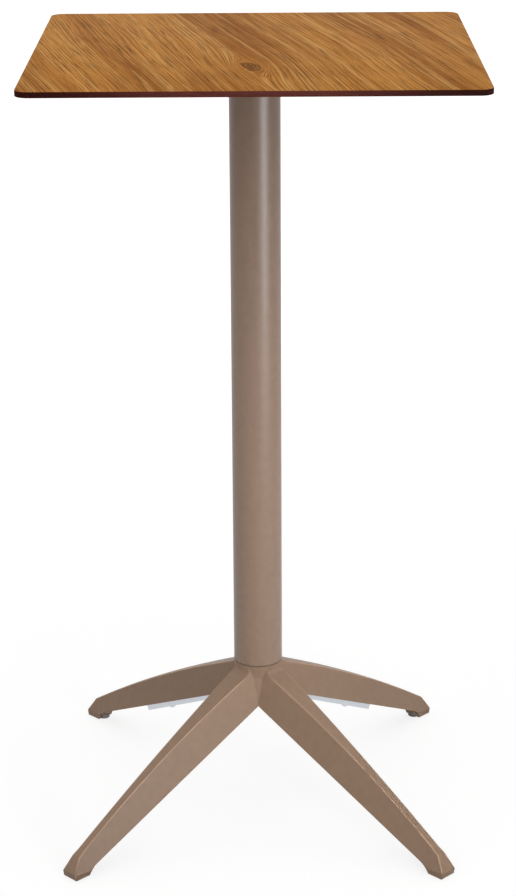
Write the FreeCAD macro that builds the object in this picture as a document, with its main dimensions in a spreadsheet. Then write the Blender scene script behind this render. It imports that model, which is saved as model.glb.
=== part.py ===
import FreeCAD, Part
import os
import Sketcher
from FreeCAD import Vector

# Bar-height pedestal table: square board on a round column, four-leg star base on levelling glides.
# Millimetres. Origin on the floor under the column, +Z up, front towards -Y, legs on the diagonals.

# Driving sizes
SIZES = (
    ("table_height", 1110, "floor to the top face"),
    ("top_side", 590, "side of the square board"),
    ("top_thickness", 8, "board thickness"),
    ("top_corner", 18, "corner radius of the board seen from above"),
    ("top_arris", 0.8, "bevel on the board's upper edge"),
    ("top_under_bevel", 0.8, "bevel on the board's lower edge"),
    ("column_dia", 70, "column and collar diameter"),
    ("column_wall", 2.5, "column wall"),
    ("seam_height", 217, "floor to the seam between column and base"),
    ("seam_bevel", 0.6, "bevel on both sides of the seam"),
    ("collar_height", 18, "straight collar below the seam"),
    ("spigot_length", 32, "length of the spigots inside the column"),
    ("spigot_wall", 8, "wall of the spigots"),
    ("fit_gap", 0.3, "radial play of pieces that slide together"),
    ("seat_gap", 0.1, "radial play of pieces that are fixed together"),
    ("web_thickness", 26, "solid web across the hub under the seam"),
    ("recess_room", 7, "room round the washer under the hub"),
    ("valley_tuck", 0.7, "hub's lower edge short of the line where two legs meet"),
    ("leg_reach", 373, "axis to the tip of a toe"),
    ("leg_root", 20, "axis to the inner end of a leg"),
    ("ridge_drop", 6, "seam down to the ridge at the leg's inner end"),
    ("root_depth", 45, "ridge to rim at the leg's inner end"),
    ("ankle_height", 10.6, "floor to the rim above the glide"),
    ("ridge_bulge", 8.3, "rise of the ridge's arc over its chord"),
    ("ridge_root_width", 34.6, "ridge width at the leg's inner end"),
    ("rim_root_width", 69.2, "rim width at the leg's inner end"),
    ("ridge_ankle_width", 12.2, "ridge width above the glide"),
    ("ridge_round", 2.5, "rounding of the ridge's two edges"),
    ("collar_blend", 9, "hollow round from the ridges up to the collar"),
    ("collar_bite", 1.5, "depth of that round inside the collar's face"),
    ("leg_wall", 4.5, "side wall of a hollow leg"),
    ("leg_roof", 8, "roof of a hollow leg below its ridge"),
    ("hollow_top", 6, "width of the hollow at its roof"),
    ("block_length", 16, "screw block left solid between the hollows"),
    ("toe_length", 13, "run of the bevel at the toe"),
    ("toe_height", 30.5, "floor to the ridge's outer end"),
    ("lip_height", 10, "floor to the top of the toe's lip"),
    ("lip_lean", 1.5, "inward lean of the lip"),
    ("foot_wall", 2.8, "wall of the foot beside the glide's recess"),
    ("toe_top_width", 11, "width of the toe's wedge at its top"),
    ("skirt_clear", 0.8, "floor to the lower edge of the foot"),
    ("heel_cover", 2, "foot's heel inwards of the glide's axis"),
    ("heel_round", 22, "arch from the foot's heel up to the rim"),
    ("glide_inset", 24, "toe tip to the glide's axis"),
    ("glide_dia", 18, "glide pad diameter"),
    ("glide_height", 7.7, "glide pad height"),
    ("glide_round", 2, "bevel on the pad's edges"),
    ("glide_floor", 2.5, "pad thickness under the stud"),
    ("recess_gap", 1.5, "room round the pad inside the foot"),
    ("stud_dia", 8, "levelling stud"),
    ("stud_bevel", 1, "bevel on the stud's ends"),
    ("stud_end", 4, "stud's end above its bush"),
    ("insert_wall", 1.7, "wall of the threaded bush in the foot"),
    ("insert_length", 16, "length of that bush"),
    ("boss_wall", 3, "wall of the boss round the bush"),
    ("bar_start", 53, "axis to the inner end of a bar, along the rim"),
    ("bar_length", 205, "stiffener bar length"),
    ("bar_width", 25, "stiffener bar width"),
    ("bar_thickness", 10, "stiffener bar thickness"),
    ("bar_bevel", 0.8, "bevel on the bar's long edges"),
    ("bar_screw_inset", 46, "bar end to screw"),
    ("bar_screw_dia", 6, "bar screw shank"),
    ("bar_screw_grip", 20, "bar screw length in the casting"),
    ("bar_head_rim", 2.3, "bar screw head beyond its shank"),
    ("bar_head_height", 4, "bar screw head height"),
    ("spider_thickness", 5, "spider arms"),
    ("spider_arm_width", 36, "spider arm width"),
    ("spider_arm_end", 20, "outer screw to the end of a spider arm"),
    ("spider_arm_round", 9, "rounded corners of the arms"),
    ("spider_overhang", 13, "spider's middle disc beyond the column"),
    ("spider_plug", 16, "solid depth of the spider's spigot"),
    ("top_screw_inner", 105, "axis to the inner screws of the top"),
    ("top_screw_pitch", 75, "inner to outer screws of the top"),
    ("top_screw_dia", 6, "top screw shank"),
    ("top_screw_short", 0.5, "top screw's end below the end of its insert"),
    ("top_head_rim", 2.5, "top screw head beyond its shank"),
    ("top_head_height", 3.3, "top screw head height"),
    ("top_insert_wall", 1.4, "wall of the threaded insert in the board"),
    ("top_insert_cover", 2, "board left above the inserts"),
    ("rod_dia", 12, "tie rod"),
    ("rod_bevel", 1.5, "bevel on the tie rod's ends"),
    ("rod_tail", 6, "tie rod end below its nut"),
    ("nut_wall", 3, "nut beyond the rod, at the middle of a flat"),
    ("nut_height", 10, "nut height"),
    ("washer_dia", 36, "washer diameter"),
    ("washer_thickness", 3, "washer thickness"),
    ("trim_room", 40, "reach of the trimming cut beyond the leg"),
)

# Places worked out from the sizes, s measured outwards along a leg from the column's axis
PLACES = (
    ("top_low", "Sizes.table_height - Sizes.top_thickness"),
    ("column_top", "top_low - Sizes.spider_thickness"),
    ("column_rad", "Sizes.column_dia / 2"),
    ("spigot_rad", "column_rad - Sizes.column_wall - Sizes.fit_gap"),
    ("web_low", "Sizes.seam_height - Sizes.web_thickness"),
    ("ridge_root_z", "Sizes.seam_height - Sizes.ridge_drop"),
    ("ridge_end_s", "Sizes.leg_reach - Sizes.toe_length"),
    ("chord_run", "ridge_end_s - Sizes.leg_root"),
    ("chord_fall", "ridge_root_z - Sizes.toe_height"),
    ("chord", "sqrt(chord_run ^ 2 + chord_fall ^ 2)"),
    ("ridge_rad", "chord ^ 2 / (8 * Sizes.ridge_bulge) + Sizes.ridge_bulge / 2"),
    ("knee_s", "(Sizes.leg_root + ridge_end_s) / 2 + Sizes.ridge_bulge * chord_fall / chord"),
    ("knee_ridge_z", "(ridge_root_z + Sizes.toe_height) / 2 + Sizes.ridge_bulge * chord_run / chord"),
    ("ridge_mid_s", "knee_s - ridge_rad * chord_fall / chord"),
    ("ridge_mid_z", "knee_ridge_z - ridge_rad * chord_run / chord"),
    ("ankle_s", "Sizes.leg_reach - Sizes.glide_inset"),
    ("ankle_ridge_z", "ridge_mid_z + sqrt(ridge_rad ^ 2 - (ankle_s - ridge_mid_s) ^ 2)"),
    ("rim_root_z", "ridge_root_z - Sizes.root_depth"),
    ("rim_slope", "(rim_root_z - Sizes.ankle_height) / (ankle_s - Sizes.leg_root)"),
    ("rim_angle", "atan(rim_slope)"),
    ("rim_axis_z", "rim_root_z + Sizes.leg_root * rim_slope"),
    ("heel_s", "ankle_s - Sizes.heel_cover"),
    ("arch_mid_s", "heel_s - Sizes.heel_round"),
    ("arch_mid_z", "rim_axis_z - arch_mid_s * rim_slope - Sizes.heel_round / cos(rim_angle)"),
    ("arch_s", "arch_mid_s + Sizes.heel_round * sin(rim_angle)"),
    ("arch_z", "arch_mid_z + Sizes.heel_round * cos(rim_angle)"),
    ("draft", "(Sizes.rim_root_width - Sizes.ridge_root_width) / (2 * Sizes.root_depth)"),
    ("ridge_narrowing", "(Sizes.ridge_root_width - Sizes.ridge_ankle_width) / 2"),
    ("taper", "(ridge_narrowing + (ridge_root_z - ankle_ridge_z) * draft) / (ankle_s - Sizes.leg_root)"),
    ("axis_half", "Sizes.ridge_root_width / 2 + Sizes.leg_root * taper + ridge_root_z * draft"),
    ("valley_half", "(axis_half - rim_axis_z * draft) / (1 + taper - rim_slope * draft)"),
    ("hub_foot_z", "rim_axis_z - valley_half * rim_slope"),
    ("hub_foot_rad", "valley_half * sqrt(2) - Sizes.valley_tuck"),
    ("blend_s", "column_rad - Sizes.collar_bite"),
    ("blend_mid_s", "blend_s + Sizes.collar_blend"),
    ("blend_reach", "ridge_rad + Sizes.collar_blend"),
    ("blend_z", "ridge_mid_z + sqrt(blend_reach ^ 2 - (blend_mid_s - ridge_mid_s) ^ 2)"),
    ("blend_end_s", "ridge_mid_s + (blend_mid_s - ridge_mid_s) * ridge_rad / blend_reach"),
    ("blend_end_z", "ridge_mid_z + (blend_z - ridge_mid_z) * ridge_rad / blend_reach"),
    ("pad_seat_z", "Sizes.glide_height + Sizes.fit_gap"),
    ("recess_rad", "Sizes.glide_dia / 2 + Sizes.recess_gap"),
    ("foot_half", "recess_rad + Sizes.foot_wall"),
    ("insert_top", "pad_seat_z + Sizes.insert_length"),
    ("stud_top", "insert_top + Sizes.stud_end"),
    ("stud_hole_rad", "Sizes.stud_dia / 2 + Sizes.fit_gap"),
    ("insert_rad", "stud_hole_rad + Sizes.insert_wall"),
    ("boss_rad", "insert_rad + Sizes.boss_wall"),
    ("screw_in", "Sizes.bar_start + Sizes.bar_screw_inset"),
    ("screw_out", "Sizes.bar_start + Sizes.bar_length - Sizes.bar_screw_inset"),
    ("screw_in_s", "screw_in * cos(rim_angle)"),
    ("screw_out_s", "screw_out * cos(rim_angle)"),
    ("washer_low", "web_low - Sizes.washer_thickness"),
    ("nut_low", "washer_low - Sizes.nut_height"),
    ("rod_low", "nut_low - Sizes.rod_tail"),
    ("rod_rad", "Sizes.rod_dia / 2"),
    ("rod_hole_rad", "rod_rad + Sizes.fit_gap"),
    ("nut_flat", "rod_rad + Sizes.nut_wall"),
    ("hub_recess_rad", "Sizes.washer_dia / 2 + Sizes.recess_room"),
    ("top_screw_outer", "Sizes.top_screw_inner + Sizes.top_screw_pitch"),
    ("spider_reach", "top_screw_outer + Sizes.spider_arm_end"),
    ("spider_disc_rad", "column_rad + Sizes.spider_overhang"),
    ("top_shank_rad", "Sizes.top_screw_dia / 2"),
    ("top_bore_rad", "top_shank_rad + Sizes.seat_gap"),
    ("top_insert_rad", "top_bore_rad + Sizes.top_insert_wall"),
    ("top_insert_length", "Sizes.top_thickness - Sizes.top_insert_cover"),
    ("bar_shank_rad", "Sizes.bar_screw_dia / 2"),
)

# Domed screw heads: share of the radius left flat below, and share of the height that slopes
DOME_FLAT = 0.55
DOME_SLOPE = 0.65

# How closely an edge has to lie to a place to count as being there
TOUCH = 0.02

# The four legs on the diagonals, each with the way it points in degrees from +X
LEG_NAMES = ("rear_right", "rear_left", "front_left", "front_right")
LEG_COUNT = len(LEG_NAMES)
LEG_STEP = 360 / LEG_COUNT
FIRST_LEG = LEG_STEP / 2
LEGS = [(leg, FIRST_LEG + number * LEG_STEP) for number, leg in enumerate(LEG_NAMES)]

doc = FreeCAD.newDocument("PedestalTable")
sizes = doc.addObject("Spreadsheet::Sheet", "Sizes")
places = doc.addObject("Spreadsheet::Sheet", "Places")
for row, (alias, number, meaning) in enumerate(SIZES, 1):
    sizes.set(f"A{row}", meaning)
    sizes.set(f"B{row}", str(number))
    sizes.setAlias(f"B{row}", alias)
for row, (alias, formula) in enumerate(PLACES, 1):
    places.set(f"B{row}", "=" + formula)
    places.setAlias(f"B{row}", alias)
doc.recompute()


# Helpers


def value(expression):
    """The number that an expression on the two sheets gives now."""
    return float(sizes.evalExpression(expression))


def bind(target, **formulas):
    """Ties properties to the sheets, one expression each."""
    for name, formula in formulas.items():
        target.setExpression(name, formula)


def half_width(s, z):
    """Half the leg's width at a place s along it and z above the floor."""
    return f"(Places.axis_half - ({s}) * Places.taper - ({z}) * Places.draft)"


def rim_z(s):
    """Height of a leg's lower rim at s."""
    return f"(Places.rim_axis_z - ({s}) * Places.rim_slope)"


def ridge_z(s):
    """Height of a leg's ridge at s."""
    return f"(Places.ridge_mid_z + sqrt(Places.ridge_rad ^ 2 - (({s}) - Places.ridge_mid_s) ^ 2))"


def new_body(label):
    body = doc.addObject("PartDesign::Body", label)
    body.Label = label
    return body


def origin_part(body, role):
    return next(item for item in body.Origin.OriginFeatures if item.Role == role)


def new_sketch(body, role, name, offset="0"):
    """A sketch on one of the body's own planes, moved along the plane's normal."""
    sketch = body.newObject("Sketcher::SketchObject", name)
    sketch.AttachmentSupport = [(origin_part(body, role), "")]
    sketch.MapMode = "FlatFace"
    bind(sketch, **{"AttachmentOffset.Base.z": offset})
    return sketch


def pin(sketch, edge, end, spot):
    """Holds one end of an edge at a place given by two expressions."""
    for kind, formula in zip(("DistanceX", "DistanceY"), spot):
        row = sketch.addConstraint(Sketcher.Constraint(kind, -1, 1, edge, end, value(formula)))
        sketch.setExpression(f"Constraints[{row}]", formula)


def outline(sketch, spots, arcs=()):
    """Closes an outline through the spots. An arc is (number of its first spot, middle spot, radius)."""
    points = [Vector(value(x), value(y), 0) for x, y in spots]
    bends = {first: (middle, radius) for first, middle, radius in arcs}
    for number, point in enumerate(points):
        following = points[(number + 1) % len(points)]
        if number not in bends:
            edge = sketch.addGeometry(Part.LineSegment(point, following))
            pin(sketch, edge, 1, spots[number])
            pin(sketch, edge, 2, spots[(number + 1) % len(spots)])
            continue
        middle, radius = bends[number]
        halfway = Vector(value(middle[0]), value(middle[1]), 0)
        edge = sketch.addGeometry(Part.Arc(point, halfway, following))
        row = sketch.addConstraint(Sketcher.Constraint("Radius", edge, value(radius)))
        sketch.setExpression(f"Constraints[{row}]", radius)
        ends = sorted((1, 2), key=lambda end: sketch.getPoint(edge, end).distanceToPoint(point))
        sketch.addConstraint(Sketcher.Constraint("Coincident", edge, ends[0], edge - 1, 2))
        pin(sketch, edge, ends[1], spots[(number + 1) % len(spots)])


def circle(sketch, spot, radius):
    middle = Vector(value(spot[0]), value(spot[1]), 0)
    edge = sketch.addGeometry(Part.Circle(middle, Vector(0, 0, 1), value(radius)))
    pin(sketch, edge, 3, spot)
    row = sketch.addConstraint(Sketcher.Constraint("Radius", edge, value(radius)))
    sketch.setExpression(f"Constraints[{row}]", radius)


def pad(body, name, sketch, length, symmetric=False, kind="Pad"):
    feature = body.newObject("PartDesign::" + kind, name)
    feature.Profile = sketch
    if symmetric:
        feature.SideType = "Symmetric"
    bind(feature, Length=length)
    return feature


def pocket_up(body, name, sketch, length):
    """Cuts upwards from a sketch on a level plane."""
    feature = pad(body, name, sketch, length, kind="Pocket")
    feature.Reversed = True
    return feature


def turn(body, name, spots, axis=None, kind="Revolution"):
    """Turns an outline of (outwards, up) spots about the Z axis, or about a line of two spots."""
    sketch = new_sketch(body, "XZ_Plane", name + "_outline")
    outline(sketch, spots)
    if axis:
        ends = [Vector(value(x), value(y), 0) for x, y in axis]
        line = sketch.addGeometry(Part.LineSegment(*ends), True)
        pin(sketch, line, 1, axis[0])
        pin(sketch, line, 2, axis[1])
    feature = body.newObject("PartDesign::" + kind, name)
    feature.Profile = sketch
    feature.ReferenceAxis = (sketch, ["Axis0" if axis else "V_Axis"])
    feature.Angle = 360
    return feature


def around(body, name, originals, count=LEG_COUNT):
    """Repeats features about the body's Z axis."""
    pattern = body.newObject("PartDesign::PolarPattern", name)
    pattern.Originals = originals
    pattern.Axis = (origin_part(body, "Z_Axis"), [""])
    pattern.Angle = 360
    pattern.Occurrences = count
    body.Tip = pattern
    return pattern


def dress(body, kind, name, edges, **formulas):
    """Rounds or bevels edges of the body's last feature, given by their numbers."""
    base = body.Tip
    feature = body.newObject("PartDesign::" + kind, name)
    feature.Base = (base, [f"Edge{number}" for number in edges])
    bind(feature, **formulas)
    return feature


def edges_where(body, test):
    """Numbers of the edges whose two ends and middle all pass a test on (x, y, z)."""
    doc.recompute()
    found = []
    for number, edge in enumerate(body.Tip.Shape.Edges, 1):
        first, last = edge.ParameterRange
        spots = [edge.valueAt(first + share * (last - first)) for share in (0, 0.5, 1)]
        if all(test(spot) for spot in spots):
            found.append(number)
    return found


def near(number, expression):
    return abs(number - value(expression)) < TOUCH


# Board with its threaded inserts, screws and spider


def top_spots():
    return (("Sizes.top_screw_inner", "0"), ("Places.top_screw_outer", "0"))


def make_tabletop():
    body = new_body("tabletop")
    bind(body, Placement=f"placement(vector(0; 0; Places.top_low); rotation({FIRST_LEG}; 0; 0))")
    diagonal = "(Sizes.top_side / sqrt(2))"
    plan = new_sketch(body, "XY_Plane", "top_plan")
    outline(plan, ((diagonal, "0"), ("0", diagonal), ("-" + diagonal, "0"), ("0", "-" + diagonal)))
    pad(body, "board", plan, "Sizes.top_thickness")

    def at_corner(spot):
        return near(max(abs(spot.x), abs(spot.y)), diagonal)

    dress(body, "Fillet", "corners", edges_where(body, at_corner), Radius="Sizes.top_corner")
    upper = edges_where(body, lambda spot: near(spot.z, "Sizes.top_thickness"))
    dress(body, "Chamfer", "arris", upper, Size="Sizes.top_arris")
    lower = edges_where(body, lambda spot: near(spot.z, "0"))
    dress(body, "Chamfer", "under_bevel", lower, Size="Sizes.top_under_bevel")
    holes = new_sketch(body, "XY_Plane", "insert_holes")
    for spot in top_spots():
        circle(holes, spot, "Places.top_insert_rad + Sizes.seat_gap")
    depth = "Places.top_insert_length + Sizes.seat_gap"
    around(body, "hole_ring", [pocket_up(body, "hole_pair", holes, depth)])
    return body


def domed_screw(shank, rim, height, seat, end):
    """Outline of a screw with a domed head hanging below its seat, as (outwards, up) spots."""
    head = f"({shank} + {rim})"
    low = f"({seat} - {height})"
    return (("0", low), (f"{head} * {DOME_FLAT}", low), (head, f"{low} + {height} * {DOME_SLOPE}"),
            (head, seat), (shank, seat), (shank, end), ("0", end))


def make_ring(label, spots_for):
    """Two turned pieces on one spider arm, repeated on every arm, as separate solids of one node."""
    body = new_body(label)
    bind(body, Placement=f"placement(vector(0; 0; Places.top_low); rotation({FIRST_LEG}; 0; 0))")
    turned = []
    for name, (place, _) in zip(("inner", "outer"), top_spots()):
        spots = [(f"{place} + {r}", z) for r, z in spots_for]
        turned.append(turn(body, name, spots, axis=((place, "0"), (place, "Sizes.top_thickness"))))
    around(body, "ring", turned)
    return body


def make_top_inserts():
    inner, outer, high = "Places.top_bore_rad", "Places.top_insert_rad", "Places.top_insert_length"
    return make_ring("top_inserts", ((inner, "0"), (outer, "0"), (outer, high), (inner, high)))


def make_top_screws():
    return make_ring("top_screws", domed_screw(
        "Places.top_shank_rad", "Sizes.top_head_rim", "Sizes.top_head_height", "(-Sizes.spider_thickness)",
        "(Places.top_insert_length - Sizes.top_screw_short)"))


def make_top_spider():
    body = new_body("top_spider")
    bind(body, Placement=f"placement(vector(0; 0; Places.column_top); rotation({FIRST_LEG}; 0; 0))")
    arm = new_sketch(body, "XY_Plane", "arm_plan")
    half = "(Sizes.spider_arm_width / 2)"
    reach = "Places.spider_reach"
    outline(arm, (("0", "-" + half), (reach, "-" + half), (reach, half), ("0", half)))
    around(body, "arms", [pad(body, "arm", arm, "Sizes.spider_thickness")])

    def at_tip(spot):
        return near(max(abs(spot.x), abs(spot.y)), reach) and near(min(abs(spot.x), abs(spot.y)), half)

    dress(body, "Fillet", "arm_tips", edges_where(body, at_tip), Radius="Sizes.spider_arm_round")
    disc = "Places.spider_disc_rad"
    bore = "Places.rod_rad + Sizes.seat_gap"
    spigot_in = "Places.spigot_rad - Sizes.spigot_wall"
    floor = "-Sizes.spider_plug"
    turn(body, "hub", ((bore, "Sizes.spider_thickness"), (disc, "Sizes.spider_thickness"), (disc, "0"),
                       ("Places.spigot_rad", "0"), ("Places.spigot_rad", "-Sizes.spigot_length"),
                       (spigot_in, "-Sizes.spigot_length"), (spigot_in, floor), (bore, floor)))
    turn(body, "rod_hole", (("0", "-Sizes.spigot_length"), (bore, "-Sizes.spigot_length"),
                            (bore, "Sizes.spider_thickness"), ("0", "Sizes.spider_thickness")), kind="Groove")
    holes = new_sketch(body, "XY_Plane", "screw_holes")
    for spot in top_spots():
        circle(holes, spot, "Places.top_shank_rad + Sizes.fit_gap")
    around(body, "hole_ring", [pocket_up(body, "hole_pair", holes, "Sizes.spider_thickness")])
    return body


# Column and the rod that clamps it


def make_column_tube():
    body = new_body("column_tube")
    inner = "Places.column_rad - Sizes.column_wall"
    bevel = "Sizes.seam_bevel"
    seam = "Sizes.seam_height"
    outer = "Places.column_rad"
    turn(body, "tube", ((inner, seam), (f"{outer} - {bevel}", seam), (outer, f"{seam} + {bevel}"),
                        (outer, "Places.column_top"), (inner, "Places.column_top")))
    return body


def make_tie_rod():
    body = new_body("tie_rod")
    radius = "Places.rod_rad"
    bevel = "Sizes.rod_bevel"
    turn(body, "rod", (("0", "Places.rod_low"), (f"{radius} - {bevel}", "Places.rod_low"),
                       (radius, f"Places.rod_low + {bevel}"), (radius, f"Places.top_low - {bevel}"),
                       (f"{radius} - {bevel}", "Places.top_low"), ("0", "Places.top_low")))
    return body


def make_tie_rod_washer():
    body = new_body("tie_rod_washer")
    outer = "Sizes.washer_dia / 2"
    turn(body, "washer", (("Places.rod_hole_rad", "Places.washer_low"), (outer, "Places.washer_low"),
                          (outer, "Places.web_low"), ("Places.rod_hole_rad", "Places.web_low")))
    return body


def make_tie_rod_nut():
    body = new_body("tie_rod_nut")
    plan = new_sketch(body, "XY_Plane", "nut_plan", "Places.nut_low")
    corner_rad = "(Places.nut_flat / cos(30))"
    corners = [60 * number for number in range(6)]
    outline(plan, [(f"{corner_rad} * cos({angle})", f"{corner_rad} * sin({angle})") for angle in corners])
    pad(body, "nut", plan, "Sizes.nut_height")
    bore = new_sketch(body, "XY_Plane", "nut_bore", "Places.nut_low")
    circle(bore, ("0", "0"), "Places.rod_rad + Sizes.seat_gap")
    pocket_up(body, "bore", bore, "Sizes.nut_height")
    return body


# Star base


def leg_section(body, name, s, low, high, wide):
    """Trapezoid across a leg at s, from height low to high, with the half widths that wide gives."""
    sketch = new_sketch(body, "YZ_Plane", name, s)
    lower, upper = wide(s, low), wide(s, high)
    outline(sketch, (("-" + lower, low), (lower, low), (upper, high), ("-" + upper, high)))
    return sketch


def loft(body, name, sections, kind):
    feature = body.newObject("PartDesign::" + kind, name)
    feature.Profile = sections[0]
    feature.Sections = [(section, [""]) for section in sections[1:]]
    feature.Ruled = True
    return feature


def make_leg_solid(body):
    """Drafted wedge from the hub to the ankle, and the wedge of the toe beyond it."""
    spare = "Sizes.ridge_bulge / 2"
    stations = ("Sizes.leg_root", "Places.knee_s", "Places.ankle_s")
    tops = (f"{ridge_z(stations[0])} + Sizes.collar_blend", ridge_z(stations[1]), ridge_z(stations[2]))
    sections = [leg_section(body, f"leg_section_{number}", s, rim_z(s), f"({top} + {spare})", half_width)
                for number, (s, top) in enumerate(zip(stations, tops))]
    leg = loft(body, "leg", sections, "AdditiveLoft")

    def toe_half(_, z):
        lean = "(Places.foot_half - Sizes.toe_top_width / 2) / (Sizes.toe_height - Sizes.lip_height)"
        return f"(Places.foot_half - ({z} - Sizes.lip_height) * {lean})"

    lip, crown = "Sizes.lip_height", "Sizes.toe_height"
    toe = leg_section(body, "toe_section", "Sizes.leg_reach", lip, crown, toe_half)
    return [leg, loft(body, "toe", [sections[-1], toe], "AdditiveLoft")]


def make_foot(body):
    """Skirt from the rim down to just above the floor, with an arch from its heel up to the rim."""
    low, lip, arch, ankle = "Sizes.skirt_clear", "Sizes.lip_height", "Places.arch_s", "Places.ankle_s"

    def skirt_half(s, z):
        return "Places.foot_half" if z in (low, lip) else half_width(s, z)

    tops = ((arch, rim_z(arch)), (ankle, rim_z(ankle)), ("Sizes.leg_reach", lip))
    sections = [leg_section(body, f"skirt_section_{number}", s, low, top, skirt_half)
                for number, (s, top) in enumerate(tops)]
    skirt = loft(body, "skirt", sections, "AdditiveLoft")
    sketch = new_sketch(body, "XZ_Plane", "arch_side")
    back = "(Places.arch_mid_s - Sizes.heel_round)"
    below = "(Places.arch_mid_z - Sizes.heel_round)"
    halfway = "((90 deg - Places.rim_angle) / 2)"
    middle = (f"Places.arch_mid_s + Sizes.heel_round * cos({halfway})",
              f"Places.arch_mid_z + Sizes.heel_round * sin({halfway})")
    outline(sketch, ((back, below), ("Places.heel_s", below), ("Places.heel_s", "Places.arch_mid_z"),
                     (arch, "Places.arch_z"), (back, "Places.arch_z")),
            arcs=((2, middle, "Sizes.heel_round"),))
    return [skirt, pad(body, "arch", sketch, "Sizes.rim_root_width * 2", symmetric=True, kind="Pocket")]


def make_trim(body):
    """Cuts away what stands above the ridge's arc and beyond the toe."""
    sketch = new_sketch(body, "XZ_Plane", "trim_side")
    clear = "Sizes.trim_room"
    outer = f"(Sizes.leg_reach + {clear})"
    upper = f"(Sizes.seam_height + {clear})"
    tip = "(Sizes.leg_reach - Sizes.lip_lean)"
    blend_middle = ("Places.blend_mid_s - Sizes.collar_blend * cos(30)",
                    "Places.blend_z - Sizes.collar_blend * sin(30)")
    outline(sketch, (("0", upper), ("0", "Places.blend_z"), ("Places.blend_s", "Places.blend_z"),
                     ("Places.blend_end_s", "Places.blend_end_z"), ("Places.ridge_end_s", "Sizes.toe_height"),
                     ("Sizes.leg_reach", "Sizes.lip_height"), (tip, "Sizes.skirt_clear"), (tip, f"-{clear}"),
                     (outer, f"-{clear}"), (outer, upper)),
            arcs=((2, blend_middle, "Sizes.collar_blend"),
                  (3, ("Places.knee_s", "Places.knee_ridge_z"), "Places.ridge_rad")))
    return pad(body, "trim", sketch, "Sizes.rim_root_width * 2", symmetric=True, kind="Pocket")


def make_hollows(body):
    """Hollows in a leg, open below, with solid blocks left for the bar's screws and the glide."""
    half_block = "Sizes.block_length / 2"
    ends = ((f"(Places.hub_foot_rad + {half_block})", f"(Places.screw_in_s - {half_block})"),
            (f"(Places.screw_in_s + {half_block})", f"(Places.screw_out_s - {half_block})"),
            (f"(Places.screw_out_s + {half_block})", f"(Places.ankle_s - Places.boss_rad - {half_block})"))

    def inside(s, z):
        return f"({half_width(s, z)} - Sizes.leg_wall)"

    hollows = []
    for number, pair in enumerate(ends):
        sections = []
        for side, s in zip(("inner", "outer"), pair):
            low = f"({rim_z(s)} - Sizes.leg_wall)"
            high = f"({ridge_z(s)} - Sizes.leg_roof)"
            sketch = new_sketch(body, "YZ_Plane", f"hollow_{number}_{side}", s)
            outline(sketch, ((f"-{inside(s, low)}", low), (inside(s, low), low),
                             ("Sizes.hollow_top / 2", high), ("-Sizes.hollow_top / 2", high)))
            sections.append(sketch)
        hollows.append(loft(body, f"hollow_{number}", sections, "SubtractiveLoft"))
    return hollows


def make_glide_seat(body):
    """Boss for the glide's bush, the recess round the pad, and the bores for bush and stud."""
    boss = new_sketch(body, "XY_Plane", "boss_plan", "Places.pad_seat_z")
    circle(boss, ("Places.ankle_s", "0"), "Places.boss_rad")
    features = [pad(body, "boss", boss, "Sizes.insert_length")]
    for name, radius, height in (
            ("recess", "Places.recess_rad", "Places.pad_seat_z"),
            ("insert_hole", "Places.insert_rad + Sizes.seat_gap", "Places.insert_top"),
            ("stud_hole", "Places.stud_hole_rad", "Places.stud_top + Sizes.fit_gap")):
        sketch = new_sketch(body, "XY_Plane", name + "_plan")
        circle(sketch, ("Places.ankle_s", "0"), radius)
        features.append(pocket_up(body, name, sketch, height))
    return features


def rim_spot(along, up, aside="0"):
    """Spot beside a leg's rim: a distance along it, a height square to it and a shift along it again."""
    run = f"({along} + {aside})"
    return (f"{run} * cos(Places.rim_angle) + ({up}) * sin(Places.rim_angle)",
            f"Places.rim_axis_z - {run} * sin(Places.rim_angle) + ({up}) * cos(Places.rim_angle)")


def make_bar_holes(body):
    holes = []
    radius = "(Places.bar_shank_rad + Sizes.seat_gap)"
    low = "-Sizes.bar_thickness"
    high = "Sizes.bar_screw_grip + Sizes.fit_gap"
    for name, along in (("inner_screw_hole", "Places.screw_in"), ("outer_screw_hole", "Places.screw_out")):
        axis = (rim_spot(along, low), rim_spot(along, high))
        wall = (rim_spot(along, high, radius), rim_spot(along, low, radius))
        holes.append(turn(body, name, axis + wall, axis=axis, kind="Groove"))
    return holes


def ridge_test():
    """Tells the long edges of the legs' top faces, from the collar's blend to the toe's lip."""
    blend_s = value("Places.blend_mid_s")
    blend_z = value("Places.blend_z")
    blend_rad = value("Sizes.collar_blend")
    blend_end = value("Places.blend_end_s")
    arc_s = value("Places.ridge_mid_s")
    arc_z = value("Places.ridge_mid_z")
    arc_rad = value("Places.ridge_rad")
    end_s = value("Places.ridge_end_s")
    end_z = value("Sizes.toe_height")
    tip_s = value("Sizes.leg_reach")
    tip_z = value("Sizes.lip_height")

    def top_face(s):
        if s > end_s:
            return end_z + (tip_z - end_z) * (s - end_s) / (tip_s - end_s)
        if s > blend_end:
            return arc_z + (arc_rad ** 2 - (s - arc_s) ** 2) ** 0.5
        return blend_z - max(blend_rad ** 2 - (s - blend_s) ** 2, 0) ** 0.5

    def on_side(spot):
        along = max(abs(spot.x), abs(spot.y))
        aside = min(abs(spot.x), abs(spot.y))
        return aside > TOUCH and along < tip_s + TOUCH and abs(spot.z - top_face(along)) < TOUCH

    return on_side


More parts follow.
